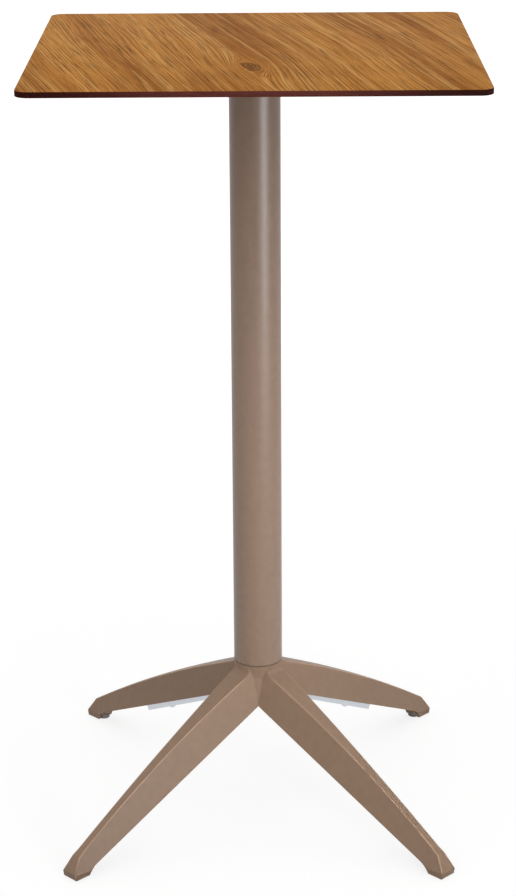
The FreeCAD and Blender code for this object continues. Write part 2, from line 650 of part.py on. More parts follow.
def make_leg_base():
    body = new_body("leg_base")
    bind(body, Placement=f"placement(vector(0; 0; 0); rotation({FIRST_LEG}; 0; 0))")
    features = make_leg_solid(body)
    features += make_foot(body)
    features.append(make_trim(body))
    features += make_hollows(body)
    features += make_glide_seat(body)
    features += make_bar_holes(body)
    around(body, "legs", features)
    dress(body, "Fillet", "ridge_edges", edges_where(body, ridge_test()), Radius="Sizes.ridge_round")
    seam = "Sizes.seam_height"
    collar = "Places.column_rad"
    collar_low = f"{seam} - Sizes.collar_height"
    bevel = "Sizes.seam_bevel"
    spigot = "Places.spigot_rad"
    spigot_in = f"{spigot} - Sizes.spigot_wall"
    spigot_top = f"{seam} + Sizes.spigot_length"
    turn(body, "hub", (("0", "Places.hub_foot_z"), ("Places.hub_foot_rad", "Places.hub_foot_z"),
                       (collar, collar_low), (collar, f"{seam} - {bevel}"), (f"{collar} - {bevel}", seam),
                       (spigot, seam), (spigot, spigot_top), ("0", spigot_top)))
    recess = "Places.hub_recess_rad"
    hole = "Places.rod_hole_rad"
    turn(body, "hub_cut", (("0", "0"), (recess, "0"), (recess, "Places.web_low"), (hole, "Places.web_low"),
                           (hole, seam), (spigot_in, seam), (spigot_in, spigot_top), ("0", spigot_top)),
         kind="Groove")
    return body


# Pieces that every leg has


def make_bar(leg, yaw):
    body = new_body("stiffener_bar_" + leg)
    bind(body, Placement=f"placement(vector(0; 0; Places.rim_axis_z); rotation({yaw}; Places.rim_angle; 0))")
    plan = new_sketch(body, "XY_Plane", "bar_plan", "-Sizes.bar_thickness")
    half = "(Sizes.bar_width / 2)"
    start = "Sizes.bar_start"
    far = f"({start} + Sizes.bar_length)"
    outline(plan, ((start, "-" + half), (far, "-" + half), (far, half), (start, half)))
    pad(body, "bar", plan, "Sizes.bar_thickness")
    sides = edges_where(body, lambda spot: near(abs(spot.y), half))
    dress(body, "Chamfer", "bevel", sides, Size="Sizes.bar_bevel")
    holes = new_sketch(body, "XY_Plane", "bar_holes", "-Sizes.bar_thickness")
    for along in ("Places.screw_in", "Places.screw_out"):
        circle(holes, (along, "0"), "Places.bar_shank_rad + Sizes.fit_gap")
    pocket_up(body, "holes", holes, "Sizes.bar_thickness")
    return body


def make_bar_screws(leg, yaw):
    """Two domed screws up through a bar into the leg's blocks."""
    body = new_body("bar_screws_" + leg)
    bind(body, Placement=f"placement(vector(0; 0; Places.rim_axis_z); rotation({yaw}; Places.rim_angle; 0))")
    screw = domed_screw("Places.bar_shank_rad", "Sizes.bar_head_rim", "Sizes.bar_head_height",
                        "(-Sizes.bar_thickness)", "Sizes.bar_screw_grip")
    for name, along in (("inner", "Places.screw_in"), ("outer", "Places.screw_out")):
        spots = [(f"{along} + {r}", z) for r, z in screw]
        turn(body, name, spots, axis=((along, "0"), (along, "Sizes.bar_thickness")))
    return body


def glide_place(yaw):
    along = f"Places.ankle_s * cos({yaw})"
    aside = f"Places.ankle_s * sin({yaw})"
    return f"placement(vector({along}; {aside}; 0); rotation({yaw}; 0; 0))"


def make_glide_insert(leg, yaw):
    body = new_body("glide_insert_" + leg)
    bind(body, Placement=glide_place(yaw))
    inner, outer = "Places.stud_hole_rad", "Places.insert_rad"
    low, high = "Places.pad_seat_z", "Places.insert_top"
    turn(body, "bush", ((inner, low), (outer, low), (outer, high), (inner, high)))
    return body


def make_glide_stud(leg, yaw):
    body = new_body("glide_stud_" + leg)
    bind(body, Placement=glide_place(yaw))
    radius = "Sizes.stud_dia / 2"
    bevel = "Sizes.stud_bevel"
    foot = "(Sizes.glide_floor + Sizes.fit_gap)"
    turn(body, "stud", (("0", foot), (f"{radius} - {bevel}", foot), (radius, f"{foot} + {bevel}"),
                        (radius, f"Places.stud_top - {bevel}"), (f"{radius} - {bevel}", "Places.stud_top"),
                        ("0", "Places.stud_top")))
    return body


def make_glide_pad(leg, yaw):
    body = new_body("glide_pad_" + leg)
    bind(body, Placement=glide_place(yaw))
    outer = "Sizes.glide_dia / 2"
    bevel = "Sizes.glide_round"
    socket = "Places.stud_hole_rad"
    high = "Sizes.glide_height"
    turn(body, "pad", (("0", "0"), (f"{outer} - {bevel}", "0"), (outer, bevel), (outer, f"{high} - {bevel}"),
                       (f"{outer} - {bevel}", high), (socket, high), (socket, "Sizes.glide_floor"),
                       ("0", "Sizes.glide_floor")))
    return body


# Build, check and write


def main():
    bodies = [make_tabletop(), make_top_inserts(), make_top_screws(), make_top_spider(), make_column_tube(),
              make_tie_rod(), make_tie_rod_washer(), make_tie_rod_nut(), make_leg_base()]
    for leg, yaw in LEGS:
        for make in (make_bar, make_bar_screws, make_glide_insert, make_glide_stud, make_glide_pad):
            bodies.append(make(leg, yaw))
    doc.recompute()
    for item in doc.Objects:
        if "Invalid" in item.State or "Error" in item.State:
            raise RuntimeError(f"{item.Label} did not build: {item.State}")
    for body in bodies:
        if body.Shape.isNull() or not body.Shape.isValid():
            raise RuntimeError(f"{body.Label} has no valid shape")
    os.makedirs("parts", exist_ok=True)
    for body in bodies:
        body.Shape.exportStep(f"parts/{body.Label}.step")
        print(body.Label, len(body.Shape.Solids), "solid(s)", round(body.Shape.Volume / 1000, 2), "cm3")


main()
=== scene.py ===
import math

import bpy
from mathutils import Matrix, Vector


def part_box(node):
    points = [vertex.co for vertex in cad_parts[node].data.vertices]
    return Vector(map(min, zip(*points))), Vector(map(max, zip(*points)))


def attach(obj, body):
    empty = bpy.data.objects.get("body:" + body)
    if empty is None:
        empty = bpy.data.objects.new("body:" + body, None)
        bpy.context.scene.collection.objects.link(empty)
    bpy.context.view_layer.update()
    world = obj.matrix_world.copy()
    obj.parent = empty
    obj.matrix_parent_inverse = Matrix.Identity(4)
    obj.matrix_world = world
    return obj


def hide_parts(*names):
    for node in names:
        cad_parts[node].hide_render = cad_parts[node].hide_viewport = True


bl_info = {
    "name": "Pedestal Table",
    "version": (1, 0, 0),
    "blender": (4, 5, 0),
    "location": "View3D > Sidebar > Table",
    "description": "Finishes a bar-height pedestal table: laminate board, coated column and base, glides",
    "category": "Object",
}

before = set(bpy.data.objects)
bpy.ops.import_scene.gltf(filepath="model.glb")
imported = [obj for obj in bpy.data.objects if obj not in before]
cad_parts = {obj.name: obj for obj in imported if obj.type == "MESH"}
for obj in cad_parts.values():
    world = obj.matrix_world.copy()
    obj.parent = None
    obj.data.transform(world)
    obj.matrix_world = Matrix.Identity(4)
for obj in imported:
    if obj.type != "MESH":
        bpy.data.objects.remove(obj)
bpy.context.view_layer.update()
board_low, board_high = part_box("tabletop")
column_low, column_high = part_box("column_tube")
LEGS = ("rear_right", "rear_left", "front_left", "front_right")
ROOT_BODY = "table"
# Attribute that marks the rounded edges which get a painted highlight and a thinner, paler coat
EDGE_HIGHLIGHT_AND_THINNING = "edge_highlight_and_thin_coat"
UP = 2


def srgb(red, green, blue):
    """A colour given in 0 to 255 display values, as the linear numbers that shaders take."""
    def linear(level):
        share = level / 255
        return share / 12.92 if share <= 0.04045 else ((share + 0.055) / 1.055) ** 2.4
    return (linear(red), linear(green), linear(blue))


def colour(name, description, default):
    return bpy.props.FloatVectorProperty(
        name=name, description=description, subtype="COLOR", size=3, min=0, max=1, default=default)


def length(name, description, default):
    return bpy.props.FloatProperty(
        name=name, description=description, subtype="DISTANCE", unit="LENGTH", precision=4,
        default=default)


def position(name, description, default):
    return bpy.props.FloatVectorProperty(
        name=name, description=description, subtype="XYZ", unit="LENGTH", size=3, default=default)


def turn(name, description, degrees):
    return bpy.props.FloatProperty(
        name=name, description=description, subtype="ANGLE", unit="ROTATION",
        default=math.radians(degrees))


def wattage(name, description, default):
    return bpy.props.FloatProperty(name=name, description=description, unit="POWER", default=default)


def plain(name, description, default):
    return bpy.props.FloatProperty(name=name, description=description, default=default)


class BoardLooks(bpy.types.PropertyGroup):
    """Sizes and colours of the laminate board."""
    corner: length("Corner", "Corner radius of the board seen from above", 0.018)
    arris: length("Arris", "Softened upper edge", 0.0008)
    under_bevel: length("Lower bevel", "Softened lower edge", 0.0008)
    decor: length("Decor", "Depth of the wood-coloured layer on each face", 0.00035)
    grain_turn: turn("Grain turn", "Turn of the grain away from front to back", 13.5)
    knot: position("Knot", "Place of the knot on the board", (-0.004, -0.135, 0))
    line_count: plain("Line count", "Growth lines in each metre across the grain", 190)
    ring_count: plain("Ring count", "Rings in each metre outwards from the knot", 270)
    knot_radius: length("Knot radius", "Half the knot's width across the grain", 0.0105)
    knot_flow: length("Knot flow", "How far from the knot the grain bends round it", 0.017)
    pale: colour("Pale wood", "Lightest wood colour", srgb(220, 166, 94))
    honey: colour("Honey wood", "Middle wood colour", srgb(202, 137, 63))
    brown: colour("Brown wood", "Darker bands", srgb(152, 90, 32))
    pore: colour("Pores", "Fine dark pores", srgb(72, 39, 12))
    core: colour("Core", "Dark core at the board's edge", srgb(126, 68, 61))
    # Darker core colour: painted shade towards the board's corners, and also the random dust mottle
    core_shade_and_dust: colour("Deep core", "Core towards the corners", srgb(64, 29, 25))


class CoatLooks(bpy.types.PropertyGroup):
    """Colours of the coated and plated metal and of the glides."""
    taupe: colour("Taupe coat", "Powder coat of the column", srgb(157, 130, 111))
    matt_taupe: colour("Matt taupe coat", "Duller powder coat of the casting", srgb(157, 130, 109))
    spider: colour("Spider coat", "Dark coat of the spider under the board", srgb(52, 50, 48))
    zinc: colour("Zinc", "Zinc plate of the bars and screws", srgb(206, 210, 216))
    brass: colour("Brass", "Threaded bushes", srgb(196, 158, 92))
    nylon: colour("Nylon", "Glide pads", srgb(118, 110, 107))
    edge: length("Cast edge", "Softened edges of the casting", 0.0008)
    # strip, valley and lip also bound the painted edge highlight that is drawn together with the thin
    # coat
    strip: length("Thin coat", "Widest strip of a rounded edge that counts as thinly coated", 0.0019)
    valley: length("Valley", "Half width of the valleys between legs, where the coat is full", 0.026)
    lip: length("Lip", "Height of the toe's lip, below which the coat is full", 0.012)
    wall: length("Wall", "Wall of the column tube", 0.0025)
    foot_bevel: length("Foot bevel", "Softened lower edge of the column", 0.0006)
    pad_round: length("Pad rounding", "Rounded edges of the glide pads", 0.002)
    pad_socket: length("Pad socket", "Radius of the stud's socket in a pad", 0.0043)
    socket_depth: length("Socket depth", "Depth of the stud's socket in a pad", 0.0052)
    recess_rim: length("Recess rim", "Flat rim round the recess under a pad", 0.002)
    recess_slope: length("Recess slope", "Width of the recess's sloping side", 0.0006)
    recess_depth: length("Recess depth", "Depth of the recess under a pad", 0.0005)


class StageLooks(bpy.types.PropertyGroup):
    """Camera and studio light."""
    lens: plain("Lens", "Focal length in millimetres", 94.69)
    yaw: turn("Yaw", "Turn of the view to the right", -0.124)
    pitch: turn("Pitch", "Downward tilt of the view", 19.623)
    roll: turn("Roll", "Roll of the view", -0.342)
    eye: position("Eye", "Place of the camera", (0.008488, -3.152771, 1.66569))
    floor_side: length("Floor side", "Side of the square floor", 60)
    floor_drop: length("Floor drop", "Room between the glides and the floor", 0.0003)
    horizon: plain("Horizon", "Level of the light from all round at the floor's height", 0.35)
    zenith: plain("Zenith", "Level of the light from straight above", 1.0)
    key: wattage("Key", "Soft light from the front", 1.6)
    key_place: position("Key place", "Place of the front light", (1.4, -2.6, 0.7))
    key_aim: length("Key aim", "Height on the column that the front light points at", 0.4)
    spread: turn("Spread", "Width of the front light's beam", 32)
    sheen: wattage("Sheen", "Tall strip at the front right that shows only as a sheen", 33)
    sheen_place: position("Sheen place", "Place of the strip", (1.25, -1.45, 0.62))
    sheen_aim: length("Sheen aim", "Height on the column that the strip points at", 0.6)



# Shader graphs


class Graph:
    """Builds one node material, with sockets or plain numbers as inputs."""

    def __init__(self, name):
        self.material = bpy.data.materials.new(name)
        self.material.use_nodes = True
        self.tree = self.material.node_tree
        self.surface = self.tree.nodes["Principled BSDF"]
        self.place = self.add("TexCoord").outputs["Object"]

    def add(self, kind, **settings):
        node = self.tree.nodes.new("ShaderNode" + kind)
        for name, setting in settings.items():
            setattr(node, name, setting)
        return node

    def feed(self, socket, source):
        if isinstance(source, bpy.types.NodeSocket):
            self.tree.links.new(source, socket)
        else:
            socket.default_value = source

    def math(self, operation, *sources, clamp=False):
        node = self.add("Math", operation=operation, use_clamp=clamp)
        for socket, source in zip(node.inputs, sources):
            self.feed(socket, source)
        return node.outputs["Value"]

    def split(self, vector):
        node = self.add("SeparateXYZ")
        self.feed(node.inputs[0], vector)
        return node.outputs

    def join(self, *parts):
        node = self.add("CombineXYZ")
        for socket, part in zip(node.inputs, parts):
            self.feed(socket, part)
        return node.outputs[0]

    def stretch(self, vector, scale):
        node = self.add("VectorMath", operation="MULTIPLY")
        self.feed(node.inputs[0], vector)
        self.feed(node.inputs[1], scale)
        return node.outputs["Vector"]

    def noise(self, vector, scale=1.0, detail=2.0, roughness=0.5, distortion=0.0):
        node = self.add("TexNoise")
        self.feed(node.inputs["Vector"], vector)
        for name, number in (("Scale", scale), ("Detail", detail), ("Roughness", roughness),
                             ("Distortion", distortion)):
            self.feed(node.inputs[name], number)
        return node.outputs["Fac"]

    def span(self, source, low, high, to_low=0.0, to_high=1.0):
        node = self.add("MapRange", interpolation_type="SMOOTHSTEP")
        for socket, number in zip(node.inputs, (source, low, high, to_low, to_high)):
            self.feed(socket, number)
        return node.outputs["Result"]

    def blend(self, share, first, second):
        node = self.add("Mix", data_type="RGBA")
        self.feed(node.inputs["Factor"], share)
        self.feed(node.inputs[6], first)
        self.feed(node.inputs[7], second)
        return node.outputs[2]

    def bump(self, height, strength, distance):
        node = self.add("Bump")
        self.feed(node.inputs["Height"], height)
        self.feed(node.inputs["Strength"], strength)
        self.feed(node.inputs["Distance"], distance)
        self.feed(self.surface.inputs["Normal"], node.outputs["Normal"])

    def set(self, **sockets):
        for name, source in sockets.items():
            self.feed(self.surface.inputs[name.replace("_", " ")], source)


def solid(rgb):
    return (*rgb, 1.0)


def tinted(rgb, factor):
    """A colour made darker or lighter, as a shader input."""
    return solid(min(level * factor, 1) for level in rgb)


def laminate(looks):
    """Wood decor with a knot on both faces, dark core along the edge, with painted shade darkening the
    core towards the corners.
    """
    graph = Graph("board_laminate")
    turned = graph.add("Mapping", vector_type="TEXTURE")
    graph.feed(turned.inputs["Vector"], graph.place)
    graph.feed(turned.inputs["Location"], tuple(looks.knot))
    graph.feed(turned.inputs["Rotation"], (0, 0, looks.grain_turn))
    here = turned.outputs[0]
    across, along, _ = graph.split(here)

    def reach(share):
        """Squared distance from the knot, with the way along the grain counted at a share."""
        short = graph.math("MULTIPLY", along, share)
        return graph.math("MULTIPLY_ADD", across, across, graph.math("MULTIPLY", short, short))

    flow = looks.knot_flow ** 2
    dodge = graph.math("DIVIDE", flow * 1.3, graph.math("ADD", reach(0.3), flow * 0.9))
    sway = graph.noise(graph.stretch(here, (2.4, 1.3, 0)), detail=1.5)
    bent = graph.math("SUBTRACT", across, graph.math("MULTIPLY", across, dodge))
    bent = graph.math("ADD", bent, graph.math("MULTIPLY", graph.math("SUBTRACT", sway, 0.5), 0.05))
    grain = graph.join(bent, along, 0.0)
    bands = graph.noise(graph.stretch(grain, (11, 0.5, 0)), detail=3, roughness=0.55)
    figure = graph.noise(graph.stretch(grain, (75, 1.1, 0)), detail=5, roughness=0.65, distortion=0.25)
    streaks = graph.noise(graph.stretch(grain, (380, 2.2, 0)), detail=3, roughness=0.6)
    pores = graph.noise(graph.stretch(grain, (1100, 9, 0)), detail=2, roughness=0.6)
    waver = graph.math("ADD", graph.math("MULTIPLY", figure, 3.5), graph.math("MULTIPLY", bands, 6))
    waver = graph.math("ADD", graph.math("MULTIPLY", bent, looks.line_count), waver)
    patchy = graph.span(graph.noise(graph.stretch(grain, (34, 2.4, 0)), detail=3), 0.38, 0.62, 0.2, 1)
    lines = graph.math("MULTIPLY", graph.math("SINE", graph.math("MULTIPLY", waver, math.tau)), patchy)
    wood = graph.blend(graph.span(bands, 0.34, 0.58), solid(looks.brown), solid(looks.honey))
    for none, full, share, tone in ((0.47, 0.66, 0.75, looks.pale), (0.46, 0.3, 0.5, looks.brown)):
        wood = graph.blend(graph.span(figure, none, full, 0, share), wood, solid(tone))
    wobble = graph.math("SUBTRACT", graph.noise(here, scale=70, detail=2), 0.5)
    wobble = graph.math("MULTIPLY", wobble, 0.009)
    away = graph.math("ADD", graph.math("SQRT", reach(0.38)), wobble)
    radius = looks.knot_radius
    halo = graph.span(away, radius * 3.6, radius * 1.6)
    wood = graph.blend(graph.math("MULTIPLY", halo, 0.55), wood, solid(looks.honey))
    for layer, none, full, share, tone in (
            (lines, -0.3, -1, 0.5, looks.pale), (lines, 0.3, 1, 0.6, looks.brown),
            (streaks, 0.48, 0.36, 0.65, looks.brown), (streaks, 0.57, 0.68, 0.4, looks.pale),
            (pores, 0.46, 0.36, 0.8, looks.pore)):
        wood = graph.blend(graph.span(layer, none, full, 0, share), wood, solid(tone))
    ripple = graph.math("SINE", graph.math("MULTIPLY", away, math.tau * looks.ring_count))
    rings = graph.span(ripple, 0.1, 0.9, 0, 0.8)
    wood = graph.blend(graph.math("MULTIPLY", rings, halo), wood, solid(looks.brown))
    cells = graph.noise(graph.stretch(here, (430, 190, 0)), detail=3)
    heart = graph.blend(graph.span(cells, 0.46, 0.66), solid(looks.pore), solid(looks.honey))
    wood = graph.blend(graph.span(away, radius, radius * 0.75, 0, 0.85), wood, heart)
    brink = graph.math("ABSOLUTE", graph.math("SUBTRACT", away, radius))
    wood = graph.blend(graph.span(brink, 0.0018, 0.0004, 0, 0.7), wood, solid(looks.pore))
    sideways, forwards, height = graph.split(graph.place)
    under_decor = graph.math("LESS_THAN", height, board_high.z - looks.decor)
    over_decor = graph.math("GREATER_THAN", height, board_low.z + looks.decor)
    dust = graph.noise(graph.stretch(graph.place, (60, 60, 900)), detail=3)
    # Painted shade: the core darkens towards the corners, where the edge turns away from the light; the
    # dust mottle below is real tone
    cornerward = graph.math(
        "MINIMUM", graph.math("ABSOLUTE", sideways), graph.math("ABSOLUTE", forwards))
    corner_shade = graph.span(cornerward, 0.06, board_high.x * 0.95)
    core = graph.blend(corner_shade, solid(looks.core), solid(looks.core_shade_and_dust))
    core = graph.blend(graph.span(dust, 0.35, 0.7, 0, 0.3), core, solid(looks.core_shade_and_dust))
    graph.set(Base_Color=graph.blend(graph.math("MULTIPLY", under_decor, over_decor), wood, core),
              Roughness=graph.span(streaks, 0.3, 0.7, 0.68, 0.58))
    graph.surface.inputs["Specular IOR Level"].default_value = 0.02
    graph.bump(graph.math("ADD", pores, graph.math("MULTIPLY", streaks, 0.6)), 0.25, 0.0003)
    return graph.material


def powder_coat(name, rgb, rough, gloss):
    """Satin powder coat: fine orange peel, pale on rounded edges for their thinner coat and as a painted
    highlight, and painted shade in the column's seam.
    """
    edge_highlight_share, seam_share = 0.75, 0.6
    seam_edge, seam_core = 0.0012, 0.0005
    graph = Graph(name)
    mottle = graph.noise(graph.place, scale=90, detail=3)
    peel = graph.noise(graph.place, scale=700, detail=2)
    shade = graph.blend(graph.span(mottle, 0.3, 0.7), tinted(rgb, 0.96), tinted(rgb, 1.03))
    highlit_thin_edges = graph.add("Attribute", attribute_name=EDGE_HIGHLIGHT_AND_THINNING).outputs["Fac"]
    # Painted highlight: rounded edges are lightened towards a pale taupe, standing in for the light their
    # roundings catch and for their thinner coat
    shade = graph.blend(graph.math("MULTIPLY", highlit_thin_edges, edge_highlight_share), shade, tinted(rgb, 1.8))
    height = graph.split(graph.place)[UP]
    # Painted shade: a thin band at the column's foot is darkened, standing in for the shadow in the
    # joint's gap
    off_seam = graph.math("ABSOLUTE", graph.math("SUBTRACT", height, column_low.z))
    seam_shade = graph.span(off_seam, seam_edge, seam_core, 0, seam_share)
    graph.set(Base_Color=graph.blend(seam_shade, shade, tinted(rgb, 0.12)),
              Roughness=graph.span(peel, 0.3, 0.7, rough - 0.03, rough + 0.03))
    graph.surface.inputs["Specular IOR Level"].default_value = gloss
    graph.bump(peel, 0.06, 0.0002)
    return graph.material


def plated(name, rgb, rough):
    """Bright plated metal with a fine drawn grain."""
    graph = Graph(name)
    drawn = graph.noise(graph.stretch(graph.place, (90, 90, 700)), detail=3)
    cloud = graph.noise(graph.place, scale=160, detail=4)
    graph.set(Base_Color=graph.blend(cloud, tinted(rgb, 0.93), solid(rgb)),
              Roughness=graph.span(drawn, 0.3, 0.7, rough - 0.06, rough + 0.06), Metallic=1.0)
    graph.bump(drawn, 0.08, 0.0001)
    return graph.material


def nylon(looks):
    """Moulded nylon of the glide pads."""
    graph = Graph("glide_nylon")
    cloud = graph.noise(graph.place, scale=220, detail=3)
    spark = graph.noise(graph.place, scale=2600, detail=1)
    scuffs = graph.span(cloud, 0.4, 0.7, 0, 0.6)
    graph.set(Base_Color=graph.blend(scuffs, solid(looks.nylon), tinted(looks.nylon, 1.2)),
              Roughness=graph.span(cloud, 0.3, 0.7, 0.45, 0.6))
    graph.bump(spark, 0.2, 0.0001)
    return graph.material


# Modelling helpers


def deselect():
    bpy.ops.object.select_all(action="DESELECT")


def only(piece):
    deselect()
    piece.select_set(True)
    bpy.context.view_layer.objects.active = piece


def choose(piece, kind, flags):
    """Selects a piece's edges or faces by a list of flags, and leaves the piece in edit mode."""
    bpy.ops.object.mode_set(mode="EDIT")
    bpy.ops.mesh.select_mode(type=kind)
    bpy.ops.mesh.select_all(action="DESELECT")
    bpy.ops.object.mode_set(mode="OBJECT")
    for item, flag in zip(piece.data.edges if kind == "EDGE" else piece.data.polygons, flags):
        item.select = flag
    bpy.ops.object.mode_set(mode="EDIT")


def pick(piece, kind, test):
    """Selects the edges or faces of a piece whose corners pass a test."""
    bpy.ops.object.mode_set(mode="OBJECT")
    mesh = piece.data
    items = mesh.edges if kind == "EDGE" else mesh.polygons
    choose(piece, kind, [test([mesh.vertices[number].co for number in item.vertices]) for item in items])


def all_at(spots, axis, place, near=1e-5):
    return all(abs(spot[axis] - place) < near for spot in spots)


def done(piece, body, slot, material, *nodes, smooth=35):
    """Puts a finished piece at the origin, shades it, and hands it to its body."""
    if piece.mode == "EDIT":
        bpy.ops.object.mode_set(mode="OBJECT")
    only(piece)
    bpy.ops.object.transform_apply(location=True, rotation=True, scale=True)
    bpy.ops.object.shade_smooth_by_angle(angle=math.radians(smooth))
    piece.data.materials.clear()
    piece.data.materials.append(material)
    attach(piece, body)
    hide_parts(*nodes)


def strip_width(mesh, face):
    """Width of a long thin face, from its area and the way round it."""
    spots = [mesh.vertices[number].co for number in face.vertices]
    around = sum((spot - spots[number - 1]).length for number, spot in enumerate(spots))
    return 2 * face.area / around


def edges_meeting(mesh, angle, test):
    """Tells for each edge whether its two faces meet at more than an angle and pass a test."""
    beside = {}
    for face in mesh.polygons:
        for ends in face.edge_keys:
            beside.setdefault(ends, []).append(face)

    def passes(edge):
        faces = beside[tuple(sorted(edge.vertices))]
        return len(faces) == 2 and faces[0].normal.angle(faces[1].normal) > angle and test(edge, faces)

    return [passes(edge) for edge in mesh.edges]


def in_valley(spot, valley):
    """Tells whether a place lies in a valley between two legs."""
    return min(abs(spot.x), abs(spot.y)) < valley


def soften(piece, width, angle, valley):
    """Rounds the edges that meet at more than an angle, but not those in the valleys between legs."""
    mesh = piece.data

    def on_leg(edge, _):
        return not any(in_valley(mesh.vertices[number].co, valley) for number in edge.vertices)

    weights = mesh.attributes.new("bevel_weight_edge", "FLOAT", "EDGE")
    for weight, chosen in zip(weights.data, edges_meeting(mesh, angle, on_leg)):
        weight.value = float(chosen)
    bevel = piece.modifiers.new("soften", "BEVEL")
    bevel.width = width
    bevel.segments = 4
    bevel.limit_method = "WEIGHT"
    bpy.ops.object.modifier_apply(modifier=bevel.name)


def even_shading(piece, narrow, smooth, crease, valley):
    """Shades roundings smoothly and wide faces flat, with creases in valleys and between wide faces."""
    mesh = piece.data
    bpy.ops.object.shade_smooth_by_angle(angle=smooth)

    def is_crease(edge, faces):
        sunk = all(in_valley(mesh.vertices[number].co, valley) for number in edge.vertices)
        return sunk or all(strip_width(mesh, face) > narrow for face in faces)

    choose(piece, "EDGE", edges_meeting(mesh, crease, is_crease))
    bpy.ops.mesh.mark_sharp()
    bpy.ops.object.mode_set(mode="OBJECT")
    even = piece.modifiers.new("even", "WEIGHTED_NORMAL")
    even.keep_sharp = True
    bpy.ops.object.modifier_apply(modifier=even.name)


def mark_edge_highlight_and_thinning(piece, narrow, valley, floor):
    """Stores 1 on rounded edges, where only narrow strips meet, and 0 in valleys and elsewhere; the coat
    paints these edges pale, as a thinner coat and a painted highlight.
    """
    mesh = piece.data
    widest = [0.0] * len(mesh.vertices)
    for face in mesh.polygons:
        for number in face.vertices:
            widest[number] = max(widest[number], strip_width(mesh, face))
    marks = mesh.attributes.new(EDGE_HIGHLIGHT_AND_THINNING, "FLOAT", "POINT")
    for vertex, mark, width in zip(mesh.vertices, marks.data, widest):
        on_leg = vertex.co.z > floor and not in_valley(vertex.co, valley)
        mark.value = float(width < narrow and on_leg)


def finish_node(node, material):
    """Gives a carried-over node its material."""
    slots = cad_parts[node].data.materials
    slots.clear()
    slots.append(material)


class PEDESTAL_OT_board(bpy.types.Operator):
    """Model the square laminate board"""
    bl_idname = "pedestal.board"
    bl_label = "Laminate Board"

    def execute(self, context):
        looks = context.scene.board_looks
        size = board_high - board_low
        deselect()
        bpy.ops.mesh.primitive_cube_add(size=1, location=(board_low + board_high) / 2, scale=size)
        piece = context.object
        piece.name = "laminate_board"
        bpy.ops.object.transform_apply(location=True, rotation=True, scale=True)
        pick(piece, "EDGE", lambda spots: abs(spots[0].z - spots[1].z) > size.z / 2)
        bpy.ops.mesh.bevel(offset=looks.corner, segments=14, affect="EDGES")
        pick(piece, "EDGE", lambda spots: all_at(spots, UP, board_high.z))
        bpy.ops.mesh.bevel(offset=looks.arris, segments=3, affect="EDGES")
        pick(piece, "EDGE", lambda spots: all_at(spots, UP, board_low.z))
        bpy.ops.mesh.bevel(offset=looks.under_bevel, segments=3, affect="EDGES")
        done(piece, ROOT_BODY, "board_laminate", laminate(looks), "tabletop", smooth=40)
        return {"FINISHED"}


class PEDESTAL_OT_column(bpy.types.Operator):
    """Model the round column tube"""
    bl_idname = "pedestal.column"
    bl_label = "Column Tube"

    def execute(self, context):
        looks = context.scene.coat_looks
        radius = column_high.x
        deselect()
        bpy.ops.mesh.primitive_cylinder_add(
            vertices=192, radius=radius, depth=column_high.z - column_low.z,
            location=(0, 0, (column_low.z + column_high.z) / 2))
        piece = context.object
        piece.name = "coated_column"
        bpy.ops.object.transform_apply(location=True, rotation=True, scale=True)

        def is_cap(spots):
            return all_at(spots, UP, column_low.z) or all_at(spots, UP, column_high.z)

        pick(piece, "FACE", is_cap)
        bpy.ops.mesh.inset(thickness=looks.wall)
        bpy.ops.mesh.bridge_edge_loops()

        def is_foot(spots):
            outside = all(spot.xy.length > radius - looks.wall / 2 for spot in spots)
            return outside and all_at(spots, UP, column_low.z)

        pick(piece, "EDGE", is_foot)
        bpy.ops.mesh.bevel(offset=looks.foot_bevel, segments=3, affect="EDGES")
        bpy.ops.mesh.select_all(action="SELECT")
        bpy.ops.mesh.normals_make_consistent(inside=False)
        coat = powder_coat("column_coat", tuple(looks.taupe), rough=0.42, gloss=0.5)
        done(piece, ROOT_BODY, "column_coat", coat, "column_tube")
        return {"FINISHED"}


class PEDESTAL_OT_base(bpy.types.Operator):
    """Soften the edges of the star-shaped casting"""
    bl_idname = "pedestal.base"
    bl_label = "Star Base"

    def execute(self, context):
        looks = context.scene.coat_looks
        smooth = 38
        only(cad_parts["leg_base"])
        bpy.ops.object.duplicate()
        piece = context.object
        piece.name = "star_casting"
        for key in list(piece.keys()):
            del piece[key]
        piece.parent = None
        bpy.ops.object.mode_set(mode="EDIT")
        bpy.ops.mesh.select_all(action="SELECT")
        bpy.ops.mesh.remove_doubles(threshold=0.00001)
        bpy.ops.mesh.dissolve_limited(angle_limit=math.radians(0.6))
        bpy.ops.object.mode_set(mode="OBJECT")
        soften(piece, looks.edge, math.radians(smooth), looks.valley)
        even_shading(piece, looks.strip, math.radians(smooth), math.radians(11), looks.valley)
        mark_edge_highlight_and_thinning(piece, looks.strip, looks.valley, looks.lip)
        coat = powder_coat("casting_coat", tuple(looks.matt_taupe), rough=0.42, gloss=0.13)
        done(piece, ROOT_BODY, "casting_coat", coat, "leg_base", smooth=smooth)
        return {"FINISHED"}


